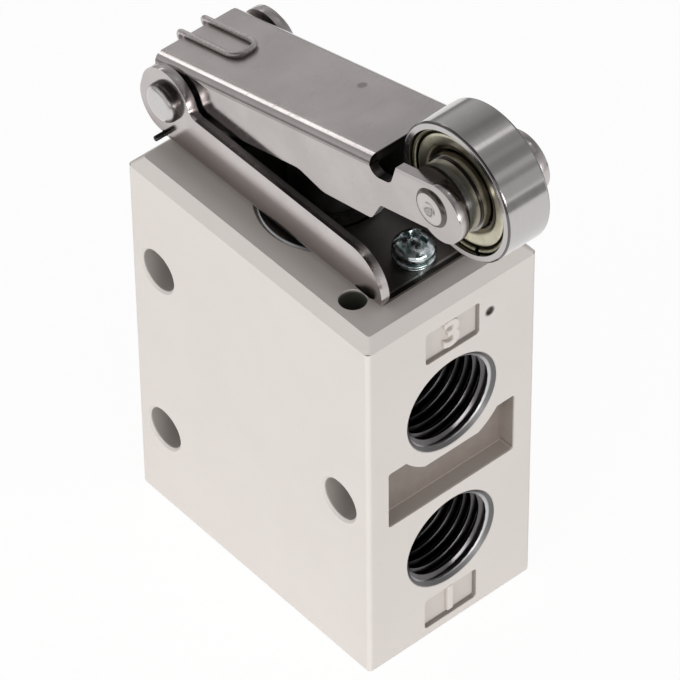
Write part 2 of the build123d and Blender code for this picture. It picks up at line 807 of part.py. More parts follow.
loop_height = lever_top + torsion_wire_radius + wire_lift
loop_corner = pivot_point + along * loop_back + upward * loop_height
loop_nose = pivot_point + along * loop_front + upward * loop_height
loop_start_angle = tangent_angle(loop_corner, 1)
leg_start_angle = tangent_angle(leg_point, -1)
coil_turns = torsion_turns - (loop_start_angle - leg_start_angle) % (2 * pi) / (2 * pi)
coil_inner_y = loop_half_width + tangent_drift(loop_corner)
coil_outer_y = coil_inner_y + coil_turns * torsion_pitch
leg_y = coil_outer_y + tangent_drift(leg_point)
loop_shift = Vector(0, loop_half_width, 0)

with BuildPart() as torsion_spring:
    with BuildLine() as loop_line:
        FilletPolyline(
            coil_point(loop_start_angle, coil_inner_y),
            loop_corner + loop_shift,
            loop_nose + loop_shift,
            loop_nose - loop_shift,
            loop_corner - loop_shift,
            coil_point(loop_start_angle, -coil_inner_y),
            radius=[loop_bend, loop_nose_round, loop_nose_round, loop_bend],
        )
    with BuildSketch(Plane(origin=loop_line.line @ 0, z_dir=loop_line.line % 0)):
        Circle(torsion_wire_radius)
    sweep(path=loop_line.line)
    for side in (1, -1):
        with BuildLine() as leg_line:
            FilletPolyline(
                coil_point(leg_start_angle, side * coil_outer_y),
                leg_point + Vector(0, side * leg_y, 0),
                leg_point + Vector(0, side * (bracket_half_width + leg_tail), 0),
                radius=leg_bend,
            )
        with BuildSketch(Plane(origin=leg_line.line @ 0, z_dir=leg_line.line % 0)):
            Circle(torsion_wire_radius)
        sweep(path=leg_line.line)
        with BuildLine() as coil_line:
            coil = Helix(
                torsion_pitch,
                coil_turns * torsion_pitch,
                torsion_coil_radius,
                center=pivot_point + Vector(0, side * coil_inner_y, 0),
                direction=(0, side, 0),
                lefthand=side > 0,
                mode=Mode.PRIVATE,
            )
            arm = coil @ 0 - pivot_point
            add(coil.rotate(pivot_axis, degrees(atan2(arm.Z, arm.X) - loop_start_angle)))
        with BuildSketch(Plane(origin=coil_line.line @ 0, z_dir=coil_line.line % 0)):
            Circle(torsion_wire_radius)
        sweep(path=coil_line.line, is_frenet=True)
save(torsion_spring.part, "torsion_spring")
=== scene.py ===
"""Looks of the roller lever air valve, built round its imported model. Lengths here are in millimetres."""
import json
import math

import bmesh
import bpy
import numpy as np
from mathutils import Matrix, Vector

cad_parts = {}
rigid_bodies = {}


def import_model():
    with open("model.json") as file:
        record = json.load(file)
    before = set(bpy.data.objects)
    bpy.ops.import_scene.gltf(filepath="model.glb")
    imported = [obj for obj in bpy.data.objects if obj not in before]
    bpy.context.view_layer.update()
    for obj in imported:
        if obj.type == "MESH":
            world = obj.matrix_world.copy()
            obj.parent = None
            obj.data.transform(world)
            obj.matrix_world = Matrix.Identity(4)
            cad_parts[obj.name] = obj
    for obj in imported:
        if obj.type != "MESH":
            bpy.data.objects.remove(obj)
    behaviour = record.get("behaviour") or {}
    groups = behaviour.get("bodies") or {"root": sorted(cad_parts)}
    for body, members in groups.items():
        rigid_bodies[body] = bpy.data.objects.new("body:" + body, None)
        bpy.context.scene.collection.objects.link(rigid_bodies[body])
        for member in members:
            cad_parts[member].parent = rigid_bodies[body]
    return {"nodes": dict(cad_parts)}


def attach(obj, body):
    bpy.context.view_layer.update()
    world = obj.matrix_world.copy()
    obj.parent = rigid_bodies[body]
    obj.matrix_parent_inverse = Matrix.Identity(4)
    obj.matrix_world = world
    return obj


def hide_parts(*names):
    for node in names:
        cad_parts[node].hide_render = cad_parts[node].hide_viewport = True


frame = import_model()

MM = 0.001
nodes = frame["nodes"]
for stray in [o for o in bpy.data.objects if o.name in ("Cube", "Light", "Camera")]:
    bpy.data.objects.remove(stray)
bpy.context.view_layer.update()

# Places and sizes that part.py also has
BODY_LENGTH = 41.2
BODY_WIDTH = 25.0
BODY_HEIGHT = 53.4
FRONT_X = BODY_LENGTH / 2
OUTLET_Z = 25.5
PORT_PITCH = 11.22
RECESS_LOW_Z = 22.75
RECESS_HIGH_Z = 31.5
RECESS_HALF_WIDTH = 9.5
RECESS_DEPTH = 2.1
PANEL_HALF_WIDTH = 4.0
PANEL_DEPTH = 0.6
PANEL_LOW_Z = 4.0
PANEL_HIGH_Z = 47.5
DIMPLE_Y = 5.5
SIDE_HOLE = (13.7, -8.6)
CROSS_HOLES = ((15.5, OUTLET_Z), (-16.0, 12.55), (-16.0, 38.45))
BRACKET_TOP = 54.6
BRACKET_HALF_WIDTH = 8.0
BRACKET_INSIDE = 6.8
PIVOT = np.array([-18.8, 0.0, 60.2])
LEVER_ANGLE = math.radians(15.2)
LEVER_TOP = 4.27
LEVER_HALF_WIDTH = 6.4
NECK_ALONG = 35.0
ALONG = np.array([math.cos(LEVER_ANGLE), 0.0, math.sin(LEVER_ANGLE)])
UPWARD = np.array([-math.sin(LEVER_ANGLE), 0.0, math.cos(LEVER_ANGLE)])
AXLE = PIVOT + 44.9 * ALONG + 1.48 * UPWARD
BEARING_RADIUS = 8.5
BEARING_HALF_WIDTH = 3.0
SHIELD_SEAT_RADIUS = 7.6
SCREW_X = 14.1

X = np.array([1.0, 0.0, 0.0])
Y = np.array([0.0, 1.0, 0.0])
Z = np.array([0.0, 0.0, 1.0])
TURN = 2 * math.pi


# Camera, lamps, sky and floor

IMAGE_WIDTH = 680
SENSOR_WIDTH = 36.0
FOCAL_PIXELS = 5410.7
CAMERA_AZIMUTH = math.radians(49.564)
CAMERA_ELEVATION = math.radians(45.115)
CAMERA_ROLL = math.radians(-0.703)
CAMERA_SHIFT = (0.622, 21.94)
CAMERA_DISTANCE = 642.2


def place_camera():
    """Camera at the photograph's viewing angle: back from the block's foot along its line of sight, then
    shifted square to it."""
    back = np.array([
        math.sin(CAMERA_AZIMUTH) * math.cos(CAMERA_ELEVATION),
        -math.cos(CAMERA_AZIMUTH) * math.cos(CAMERA_ELEVATION),
        math.sin(CAMERA_ELEVATION),
    ])
    level = np.cross(Z, back)
    level /= np.linalg.norm(level)
    rise = np.cross(back, level)
    right = math.cos(CAMERA_ROLL) * level + math.sin(CAMERA_ROLL) * rise
    up = math.cos(CAMERA_ROLL) * rise - math.sin(CAMERA_ROLL) * level
    eye = (right * CAMERA_SHIFT[0] + up * CAMERA_SHIFT[1] + back * CAMERA_DISTANCE) * MM
    camera = bpy.data.objects.new("camera", bpy.data.cameras.new("camera"))
    camera.data.sensor_width = SENSOR_WIDTH
    camera.data.lens = FOCAL_PIXELS * SENSOR_WIDTH / IMAGE_WIDTH
    camera.data.clip_start = 0.01
    camera.data.clip_end = 50
    camera.matrix_world = Matrix([[*row, place] for row, place in zip(np.stack([right, up, back], 1), eye)]
                                 + [[0, 0, 0, 1]])
    bpy.context.scene.collection.objects.link(camera)
    bpy.context.scene.camera = camera


class Level:
    """A socket in a node tree. Arithmetic on it adds Math nodes."""

    def __init__(self, tree, socket):
        self.tree = tree
        self.socket = socket

    def _pair(self, operation, first, second):
        return self.tree.node("ShaderNodeMath", {"operation": operation}, {0: first, 1: second})

    def __add__(self, other):
        return self._pair("ADD", self, other)

    def __radd__(self, other):
        return self._pair("ADD", other, self)

    def __sub__(self, other):
        return self._pair("SUBTRACT", self, other)

    def __rsub__(self, other):
        return self._pair("SUBTRACT", other, self)

    def __mul__(self, other):
        return self._pair("MULTIPLY", self, other)

    def __pow__(self, other):
        return self._pair("POWER", self, other)

    def smallest(self, other):
        return self._pair("MINIMUM", self, other)

    def largest(self, other):
        return self._pair("MAXIMUM", self, other)

    def size(self):
        return self._pair("ABSOLUTE", self, 0.0)

    def ramp(self, low, high):
        """0 below low, 1 above high, and a smooth step between them; the other way round where high is less."""
        return self.tree.node(
            "ShaderNodeMapRange",
            {"interpolation_type": "SMOOTHSTEP"},
            {"Value": self, "From Min": low, "From Max": high, "To Min": 0.0, "To Max": 1.0},
        )

    def near(self, centre, reach, blur=0.05):
        """1 about a centre, and 0 from reach outwards, over an edge of twice this blur."""
        return (self - centre).size().ramp(reach + blur, reach - blur)


def span(first, second):
    """Length of the step with these two parts."""
    return (first**2.0 + second**2.0) ** 0.5


class Tree:
    """Node tree of a material or of the sky."""

    def __init__(self, owner):
        owner.use_nodes = True
        self.tree = owner.node_tree

    def node(self, kind, settings=None, sockets=None, output=0):
        made = self.tree.nodes.new(kind)
        for name, value in (settings or {}).items():
            setattr(made, name, value)
        for name, value in (sockets or {}).items():
            self.feed(made.inputs[name], value)
        return Level(self, made.outputs[output])

    def feed(self, socket, value):
        if isinstance(value, Level):
            self.tree.links.new(value.socket, socket)
        else:
            socket.default_value = value

    def mixed(self, share, first, second):
        """First colour where the share is 0, second where it is 1."""
        first, second = [(*c, 1.0) if isinstance(c, tuple) else c for c in (first, second)]
        return self.node(
            "ShaderNodeMix", {"data_type": "RGBA"}, {0: share, 6: first, 7: second}, output=2
        )


class Finish(Tree):
    """Material with one Principled shader, patterned in Object coordinates."""

    def __init__(self, name, metallic=1.0, coat=0.0, coat_roughness=0.1, ior=1.45):
        self.material = bpy.data.materials.new(name)
        super().__init__(self.material)
        self.shader = self.tree.nodes["Principled BSDF"]
        self.shader.inputs["Metallic"].default_value = metallic
        self.shader.inputs["Coat Weight"].default_value = coat
        self.shader.inputs["Coat Roughness"].default_value = coat_roughness
        self.shader.inputs["IOR"].default_value = ior
        self.place = self.node("ShaderNodeTexCoord", output="Object")

    def grain(self, size, detail=3.0, stretch=(1.0, 1.0, 1.0), roughness=0.5):
        """Noise of about this grain size, in mm, drawn out by these factors."""
        spread = self.node(
            "ShaderNodeMapping", {}, {"Vector": self.place, "Scale": tuple(1 / s for s in stretch)}
        )
        return self.node(
            "ShaderNodeTexNoise", {},
            {"Vector": spread, "Scale": 1 / (size * MM), "Detail": detail, "Roughness": roughness},
        )

    def coordinates(self):
        """X, Y and Z in mm."""
        split = self.node("ShaderNodeSeparateXYZ", {}, {0: self.place})
        return [Level(self, split.socket.node.outputs[k]) * (1 / MM) for k in range(3)]

    def paint(self, colour, roughness, height=None, depth=0.0):
        """Base colour, roughness, and relief of this depth in mm."""
        self.feed(self.shader.inputs["Base Color"], (*colour, 1.0) if isinstance(colour, tuple) else colour)
        self.feed(self.shader.inputs["Roughness"], roughness)
        if height is not None:
            relief = self.node("ShaderNodeBump", {}, {"Height": height, "Distance": depth * MM, "Strength": 1.0})
            self.feed(self.shader.inputs["Normal"], relief)
        return self.material


# Brightness of the sky by the sine of its height, before the object and behind it
FRONT_SKY = ((0.0, 1.0), (0.12, 1.0), (0.3, 0.58), (0.55, 0.34), (0.8, 0.28), (1.0, 0.3))
REAR_SKY = ((0.0, 0.5), (0.16, 0.58), (0.45, 0.46), (0.66, 0.36), (0.76, 0.24), (0.86, 0.4), (1.0, 0.42))
BELOW_SKY = 0.3
# Patches on it: degrees round and above the horizon, half width and half height as sines, and brightness
SKY_PATCHES = (
    (0, 2, 0.33, 0.3, 0.7),
    (-98, 28, 0.3, 0.035, 2.6),
    (-50, 46, 0.3, 0.2, 0.1),
    (50, 42, 0.6, 0.32, 0.1),
    (-2, 62, 0.32, 0.22, 0.08),
    (-162, 61, 0.07, 0.05, 0.62),
    (-178, 62.5, 0.06, 0.05, 1.6),
    (140, 54, 0.12, 0.07, 0.42),
    (122, 34, 0.25, 0.07, 0.6),
    (119, 24, 0.25, 0.045, 0.34),
    (118, 10, 0.3, 0.13, 0.55),
)
DARK_PATCH = 0.2
FLOOR_GLOW = 1.07
FLOOR_GLOW_SHARE = 0.86
FLOOR_EDGES = (-0.34, 0.28, -0.17, 0.34)
LAMP_SIZE = (1.1, 0.3)
LAMP_DISTANCE = 1.3
LAMP_ELEVATION = 6
LAMP_TARGET = Vector((0, 0, 0.04))


def light_path(tree):
    """Two levels: 1 for the camera's rays and for mirror images, and 1 for the camera's rays alone."""
    path = tree.node("ShaderNodeLightPath").socket.node
    seen = Level(tree, path.outputs["Is Camera Ray"])
    for kind in ("Is Glossy Ray", "Is Transmission Ray"):
        seen = seen.largest(Level(tree, path.outputs[kind]))
    return seen, Level(tree, path.outputs["Is Camera Ray"])


def make_sky():
    """Bright near the horizon and dim overhead, dimmer on the side away from the camera and below the floor, with
    patches on it. The dark ones are seen in mirror images alone. The camera sees the sky white."""
    world = bpy.data.worlds.new("studio")
    bpy.context.scene.world = world
    sky = Tree(world)
    sight = sky.node("ShaderNodeTexCoord", output="Generated")
    split = sky.node("ShaderNodeSeparateXYZ", {}, {0: sight}).socket.node
    x, y, z = (Level(sky, split.outputs[k]) for k in range(3))

    def blend(levels):
        """Grey that follows these pairs of height and brightness."""
        ramp = sky.node("ShaderNodeValToRGB", {}, {0: z})
        stops = ramp.socket.node.color_ramp.elements
        while len(stops) < len(levels):
            stops.new(0.5)
        for stop, (place, value) in zip(stops, levels):
            stop.position = place
            stop.color = (value, value, value, 1.0)
        return ramp

    behind = x * -math.sin(CAMERA_AZIMUTH) + y * math.cos(CAMERA_AZIMUTH)
    colour = sky.mixed(behind.ramp(-0.15, 0.25), blend(FRONT_SKY), blend(REAR_SKY))
    colour = sky.mixed(z.ramp(0.01, -0.03), colour, (BELOW_SKY, BELOW_SKY, BELOW_SKY))
    mirrored, camera = light_path(sky)
    for azimuth, elevation, half_width, half_height, value in SKY_PATCHES:
        a, e = math.radians(azimuth), math.radians(elevation)
        across = x * math.cos(a) + y * math.sin(a)
        rise = x * (-math.sin(a) * math.sin(e)) + y * (math.cos(a) * math.sin(e)) + z * math.cos(e)
        facing = x * (math.sin(a) * math.cos(e)) + y * (-math.cos(a) * math.cos(e)) + z * math.sin(e)
        patch = across.size().ramp(half_width * 1.2, half_width * 0.8)
        patch = patch * rise.size().ramp(half_height * 1.4, half_height * 0.6) * facing.ramp(0.0, 0.1)
        if value < DARK_PATCH:
            patch = patch * mirrored
        colour = sky.mixed(patch, colour, (value, value, value))
    colour = sky.mixed(camera, colour, (1.0, 1.0, 1.0))
    backdrop = sky.tree.nodes["Background"]
    sky.feed(backdrop.inputs["Color"], colour)
    backdrop.inputs["Strength"].default_value = 1.0


def make_floor():
    """Pale floor that the camera and mirror images see nearly white, with the object's shadow on it."""
    finish = Finish("floor_paper", metallic=0.0)
    seen, _ = light_path(finish)
    paper = finish.grain(40.0)
    finish.paint(finish.mixed(paper, (0.86, 0.86, 0.86), (0.9, 0.9, 0.9)), 0.9)
    glow = finish.node("ShaderNodeEmission", {}, {"Color": (1.0, 1.0, 1.0, 1.0), "Strength": FLOOR_GLOW})
    both = finish.node("ShaderNodeMixShader", {}, {0: seen * FLOOR_GLOW_SHARE, 2: glow})
    body = finish.shader.outputs[0]
    finish.tree.links.new(body, both.socket.node.inputs[1])
    out = finish.tree.nodes["Material Output"]
    finish.tree.links.new(both.socket, out.inputs["Surface"])
    left, right, front, rear = FLOOR_EDGES
    mesh = bpy.data.meshes.new("floor")
    mesh.from_pydata([(left, front, 0), (right, front, 0), (right, rear, 0), (left, rear, 0)], [], [(0, 1, 2, 3)])
    mesh.materials.append(finish.material)
    floor = bpy.data.objects.new("floor", mesh)
    bpy.context.scene.collection.objects.link(floor)


def make_lamp(name, azimuth, watts, mirrored=True):
    """Wide soft lamp that faces the object from this many degrees round it. Metal mirrors it or not."""
    a, e = math.radians(azimuth), math.radians(LAMP_ELEVATION)
    toward = Vector((math.sin(a) * math.cos(e), -math.cos(a) * math.cos(e), math.sin(e)))
    data = bpy.data.lights.new(name, "AREA")
    data.shape = "RECTANGLE"
    data.size, data.size_y = LAMP_SIZE
    data.energy = watts
    lamp = bpy.data.objects.new(name, data)
    lamp.location = toward * LAMP_DISTANCE + LAMP_TARGET
    lamp.rotation_mode = "QUATERNION"
    lamp.rotation_quaternion = toward.to_track_quat("Z", "Y")
    lamp.visible_glossy = mirrored
    bpy.context.scene.collection.objects.link(lamp)


# Surfaces


def skin(name, grid, rows_meet=False, columns_meet=True, sharp=32.0):
    """Mesh of the four-sided faces between neighbouring places of a grid in mm. Places that fall together are
    merged, which closes poles and seams, and edges sharper than the given angle stay crisp."""
    index = np.arange(grid.shape[0] * grid.shape[1]).reshape(grid.shape[:2])
    if rows_meet:
        index = np.vstack([index, index[:1]])
    if columns_meet:
        index = np.hstack([index, index[:, :1]])
    faces = np.stack([index[:-1, :-1], index[1:, :-1], index[1:, 1:], index[:-1, 1:]], -1).reshape(-1, 4)
    mesh = bpy.data.meshes.new(name)
    mesh.from_pydata(grid.reshape(-1, 3) * MM, [], faces.tolist())
    work = bmesh.new()
    work.from_mesh(mesh)
    bmesh.ops.remove_doubles(work, verts=work.verts, dist=1e-7)
    bmesh.ops.dissolve_degenerate(work, edges=work.edges, dist=1e-8)
    bmesh.ops.recalc_face_normals(work, faces=work.faces)
    work.to_mesh(mesh)
    work.free()
    mesh.shade_smooth()
    mesh.set_sharp_from_angle(angle=math.radians(sharp))
    piece = bpy.data.objects.new(name, mesh)
    bpy.context.scene.collection.objects.link(piece)
    return piece


def eased(corners, radius, steps=4, closed=False):
    """Line with its corners rounded: each corner C gives way to the curve (1-t)^2 A + 2t(1-t) C + t^2 B, where A
    and B lie on its two sides at the given distance, or at 45% of a side that is too short."""
    corners = np.asarray(corners, float)
    before, after = np.roll(corners, 1, 0), np.roll(corners, -1, 0)
    radius = np.broadcast_to(np.asarray(radius, float), len(corners))

    def step_to(other):
        run = other - corners
        length = np.linalg.norm(run, axis=1)
        reach = np.minimum(radius, 0.45 * length) / np.maximum(length, 1e-9)
        return corners + run * reach[:, None]

    t = np.linspace(0, 1, steps + 1)[None, :, None]
    curve = (1 - t) ** 2 * step_to(before)[:, None] + 2 * t * (1 - t) * corners[:, None] \
        + t**2 * step_to(after)[:, None]
    line = curve.reshape(-1, corners.shape[1])
    if closed:
        return line
    return np.vstack([corners[:1], line[steps + 1:-(steps + 1)], corners[-1:]])


def spaced(line, step):
    """The same line with places at even steps along it."""
    run = np.r_[0, np.cumsum(np.linalg.norm(np.diff(line, axis=0), axis=1))]
    where = np.linspace(0, run[-1], max(2, int(run[-1] / step) + 1))
    return np.stack([np.interp(where, run, line[:, k]) for k in range(line.shape[1])], 1)


def turned(name, profile, centre, axis, steps=128, closed=True, sharp=32.0):
    """Round piece: a profile of (radius, height) pairs carried round an axis. A place on it is the centre, plus
    the height along the axis, plus the radius times (cos, sin) of the angle on two directions square to it."""
    axis = np.asarray(axis, float)
    first = np.cross(axis, Y if abs(axis[1]) < 0.5 else X)
    second = np.cross(axis, first)
    angle = np.linspace(0, TURN, steps, endpoint=False)
    spoke = np.cos(angle)[:, None] * first + np.sin(angle)[:, None] * second
    profile = np.asarray(profile, float)
    grid = np.asarray(centre) + profile[:, 0, None, None] * spoke + profile[:, 1, None, None] * axis
    return skin(name, grid, rows_meet=closed, sharp=sharp)


DOME_STEPS = 6
DOME_REACH = 0.35


def wire(name, path, radius, lean, ring=20):
    """Round wire: a circle square to the path at each place on it, turned to suit a direction that the path never
    takes. Its ends are drawn in over a short dome, at the radius times the sine of an angle from 0 to 90
    degrees."""
    run = np.gradient(path, axis=0)
    run /= np.linalg.norm(run, axis=1, keepdims=True)
    dome = np.linspace(0, math.pi / 2, DOME_STEPS)[:, None]
    head = path[0] - run[0] * DOME_REACH * radius * np.cos(dome)
    tail = path[-1] + run[-1] * DOME_REACH * radius * np.cos(dome[::-1])
    track = np.vstack([head, path[1:-1], tail])
    ahead = np.vstack([np.repeat(run[:1], DOME_STEPS, 0), run[1:-1], np.repeat(run[-1:], DOME_STEPS, 0)])
    reach = np.r_[radius * np.sin(dome[:, 0]), np.full(len(path) - 2, radius), radius * np.sin(dome[::-1, 0])]
    side = np.cross(ahead, lean)
    side /= np.linalg.norm(side, axis=1, keepdims=True)
    rise = np.cross(side, ahead)
    angle = np.linspace(0, TURN, ring, endpoint=False)[None, :, None]
    grid = track[:, None] + reach[:, None, None] * (np.cos(angle) * side[:, None] + np.sin(angle) * rise[:, None])
    return skin(name, grid, sharp=60.0)


def dress(piece, material):
    """Gives a piece its one material."""
    piece.data.materials.clear()
    piece.data.materials.append(material)
    return piece


SHEET_EDGE_ROUND = 0.14


def soften(piece):
    """Rounds the stamped edges of a sheet piece a little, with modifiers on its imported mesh."""
    weld = piece.modifiers.new("weld", "WELD")
    weld.merge_threshold = 1e-6
    flat = piece.modifiers.new("flat", "DECIMATE")
    flat.decimate_type = "DISSOLVE"
    flat.angle_limit = math.radians(0.6)
    edge = piece.modifiers.new("edge", "BEVEL")
    edge.width = SHEET_EDGE_ROUND * MM
    edge.segments = 2
    edge.limit_method = "ANGLE"
    edge.angle_limit = math.radians(40)
    edge.use_clamp_overlap = True
    shade = piece.modifiers.new("shade", "WEIGHTED_NORMAL")
    shade.keep_sharp = False
    return piece


# Finishes


def painted_casting():
    """Warm off-white satin paint over a fine casting skin. The recess between the ports is bare and darker, with
    its bottom wall painted lighter to make up for its shade; the panel floors and walls, the dimple and the holes
    carry painted shade, and mottled painted shade lies on the top beside the bracket."""
    finish = Finish("painted_casting", metallic=0.0, coat=0.08, coat_roughness=0.35)
    x, y, z = finish.coordinates()
    inward = FRONT_X - x
    cloud = finish.grain(9.0, detail=4.0)
    speck = finish.grain(0.55, detail=2.0)
    casting_skin = finish.grain(0.22, detail=3.0)
    paint = finish.mixed(cloud, (0.735, 0.683, 0.645), (0.785, 0.735, 0.7))
    paint = finish.mixed(speck.ramp(0.62, 0.8) * 0.12, paint, (0.6, 0.55, 0.51))

    recess = inward.ramp(0.12, 0.3) * inward.ramp(RECESS_DEPTH + 0.6, RECESS_DEPTH + 0.2)
    recess = recess * z.ramp(RECESS_LOW_Z - 0.25, RECESS_LOW_Z + 0.05)
    recess = recess * z.ramp(RECESS_HIGH_Z + 0.3, RECESS_HIGH_Z - 0.1)
    recess = recess * y.size().ramp(RECESS_HALF_WIDTH + 0.3, RECESS_HALF_WIDTH - 0.1)
    bare = finish.mixed(finish.grain(1.2, detail=5.0), (0.22, 0.183, 0.16), (0.3, 0.252, 0.225))
    # Painted light: the recess's bottom wall is painted lighter than its floor, to make up for the shade it sits in
    sill = z.ramp(RECESS_LOW_Z + 0.13, RECESS_LOW_Z + 0.03) * inward.ramp(RECESS_DEPTH + 0.2, RECESS_DEPTH + 0.1)
    paint = finish.mixed(recess, paint, finish.mixed(sill, bare, (0.5, 0.445, 0.405)))

    # Painted shade: the floors of the label panels are a little darker
    panel_rows = z.near(PANEL_LOW_Z, 2.45) + z.near(PANEL_HIGH_Z, 2.5)
    panel = y.near(0.0, PANEL_HALF_WIDTH) * panel_rows * inward.ramp(0.16, 0.36) * inward.ramp(0.9, 0.7)
    paint = finish.mixed(panel, paint, (0.67, 0.62, 0.58))
    # Painted shade: the dimple beside the upper panel is dark inside
    dimple = span(y - DIMPLE_Y, z - PANEL_HIGH_Z).ramp(0.85, 0.5) * inward.ramp(1.0, 0.8)
    paint = finish.mixed(dimple, paint, (0.17, 0.15, 0.14))
    # Painted shade on the walls of the label panels, along their low and far edges
    low_panel_wall_shade = z.near(PANEL_LOW_Z - 2.325, 0.125) + z.near(PANEL_HIGH_Z - 2.35, 0.15)
    far_panel_wall_shade = y.ramp(PANEL_HALF_WIDTH - 0.2, PANEL_HALF_WIDTH - 0.12) * panel_rows
    edges = (low_panel_wall_shade + far_panel_wall_shade).smallest(1.0) * y.near(0.0, PANEL_HALF_WIDTH + 0.025, 0.025)
    edges = edges * inward.ramp(0.06, 0.12) * inward.ramp(1.0, 0.8)
    paint = finish.mixed(edges * 0.8, paint, (0.25, 0.22, 0.2))

    # Painted shade, mottled, on the top face along the outside of the bracket's walls
    bracket_side_shade = z.ramp(BODY_HEIGHT - 0.25, BODY_HEIGHT - 0.1) * x.ramp(18.0, 14.5)
    bracket_side_shade = bracket_side_shade * y.size().ramp(BRACKET_HALF_WIDTH + 3.0, BRACKET_HALF_WIDTH + 0.2)
    paint = finish.mixed(bracket_side_shade * (0.25 + cloud * 0.3), paint, (0.36, 0.31, 0.27))
    # Painted shade inside the small hole in the top
    side_hole_shade = span(x - SIDE_HOLE[0], y - SIDE_HOLE[1]).ramp(1.75, 1.68)
    side_hole_shade = side_hole_shade * z.ramp(BODY_HEIGHT, BODY_HEIGHT - 0.5) * z.ramp(46.0, 46.2)
    paint = finish.mixed(side_hole_shade, paint, (0.16, 0.16, 0.14))
    # Painted shade: the insides of the three cross holes are darker
    front_bore, low_bore, high_bore = [span(x - across, z - up) for across, up in CROSS_HOLES]
    cross_hole_shade = front_bore.smallest(low_bore).smallest(high_bore).ramp(3.0, 2.9)
    cross_hole_shade = cross_hole_shade * y.size().ramp(BODY_WIDTH / 2 - 0.2, BODY_WIDTH / 2 - 0.6)
    paint = finish.mixed(cross_hole_shade, paint, (0.5, 0.46, 0.43))
    roughness = 0.46 + finish.grain(2.5) * 0.16
    return finish.paint(paint, roughness, casting_skin * 0.7 + speck * 0.3, 0.012)


def bracket_shade(finish, colour, x, y, z):
    """Colour of the bracket with painted shade in its channel and at the walls' feet, a painted highlight along the
    plate's top front edge with painted shade on the cut face below it, and how smooth its outer sides are rubbed."""
    # Painted shade: the channel between the walls is near black at the back and a lighter brown towards the front
    channel = y.size().ramp(BRACKET_INSIDE + 0.05, BRACKET_INSIDE - 0.05) * x.ramp(-19.5, -19.3)
    plate = finish.mixed(x.ramp(9.0, 13.0) * 0.6, (0.07, 0.072, 0.06), (0.2, 0.165, 0.15))
    colour = finish.mixed(channel * 0.8, colour, plate)
    # Painted shade at the walls' feet
    foot = y.size().ramp(BRACKET_HALF_WIDTH - 0.1, BRACKET_HALF_WIDTH - 0.03) * z.ramp(58.2, 54.8)
    colour = finish.mixed(foot * 0.5, colour, (0.2, 0.17, 0.15))
    # Painted highlight: a light line along the plate's top front edge
    painted_edge_highlight = channel * x.ramp(16.35, 16.45) * x.ramp(16.72, 16.62) * z.ramp(BRACKET_TOP + 0.3, BRACKET_TOP + 0.1)
    colour = finish.mixed(painted_edge_highlight * 0.8, colour, (0.62, 0.58, 0.56))
    # Painted shade: the plate's front cut face is near black
    colour = finish.mixed(channel * x.ramp(16.7, 16.8) * 0.9, colour, (0.04, 0.035, 0.03))
    return colour, y.size().ramp(7.3, 7.9)


def lever_shade(finish, colour, x, y, z):
    """Colour of the lever with painted shade on its sides, the top a little darker towards the fork, a painted
    shade line under each fold and near-black painted shade in the notches behind the fork, and how smooth its sides
    and folds are rubbed."""
    out, up = x - float(PIVOT[0]), z - float(PIVOT[2])
    along = out * float(ALONG[0]) + up * float(ALONG[2])
    rise = out * float(UPWARD[0]) + up * float(UPWARD[2])
    # Painted shade: the sides are a little darker
    side = y.size().ramp(LEVER_HALF_WIDTH - 0.2, LEVER_HALF_WIDTH - 0.05)
    colour = finish.mixed(side * 0.2, colour, (0.25, 0.22, 0.2))
    nose = along.ramp(NECK_ALONG - 9.0, NECK_ALONG - 1.0) * rise.ramp(4.1, 4.2)
    colour = finish.mixed(nose * 0.2, colour, (0.3, 0.28, 0.29))
    # Painted shade: a dark line along the foot of each fold
    fold_shade_line = side * rise.ramp(3.1, 3.2) * rise.ramp(3.4, 3.3) * along.ramp(NECK_ALONG, NECK_ALONG - 0.2)
    colour = finish.mixed(fold_shade_line * 0.5, colour, (0.2, 0.18, 0.17))
    # Painted shade: the notches behind the fork are near black
    notch_shade = along.ramp(NECK_ALONG - 0.14, NECK_ALONG - 0.07) * along.ramp(38.3, 37.6)
    notch_shade = notch_shade * rise.ramp(4.25, 4.1) * y.size().ramp(LEVER_HALF_WIDTH - 0.01, LEVER_HALF_WIDTH - 0.05)
    colour = finish.mixed(notch_shade * 0.9, colour, (0.03, 0.028, 0.027))
    folds = y.size().ramp(5.0, 5.2) * rise.ramp(3.1, 3.3)
    return colour, side.largest(folds)


def rolled_sheet(name, shade):
    """Satin sheet steel, tumbled after stamping: fine cross grain, a few scratches, faint stains and one pit, with
    the painted shade and highlight and the smooth places of its piece."""
    finish = Finish(name)
    x, y, z = finish.coordinates()
    stain = finish.grain(6.0, detail=4.0)
    fleck = finish.grain(0.5, detail=4.0)
    tumble = finish.grain(0.12, detail=2.0)
    rolled = finish.grain(0.16, detail=3.0, stretch=(14.0, 1.0, 14.0))
    scratch = finish.grain(0.3, detail=1.0, stretch=(3.0, 12.0, 3.0)).ramp(0.66, 0.72)
    pit = span(x - 2.2, y - 3.0).ramp(0.75, 0.35) * z.ramp(67.0, 68.0)
    colour = finish.mixed(stain.ramp(0.3, 0.75), (0.52, 0.48, 0.475), (0.59, 0.55, 0.54))
    colour = finish.mixed(fleck.ramp(0.6, 0.75) * 0.3, colour, (0.4, 0.37, 0.37))
    colour = finish.mixed(pit * 0.55, colour, (0.16, 0.13, 0.12))
    colour, smooth = shade(finish, colour, x, y, z)
    roughness = (0.26 + fleck * 0.12 + scratch * 0.1) * (1.0 - smooth * 0.55)
    relief = (tumble * 0.4 + rolled * 0.6 - scratch * 0.5) * (1.0 - smooth * 0.8) - pit * 4.0
    return finish.paint(colour, roughness, relief, 0.006)


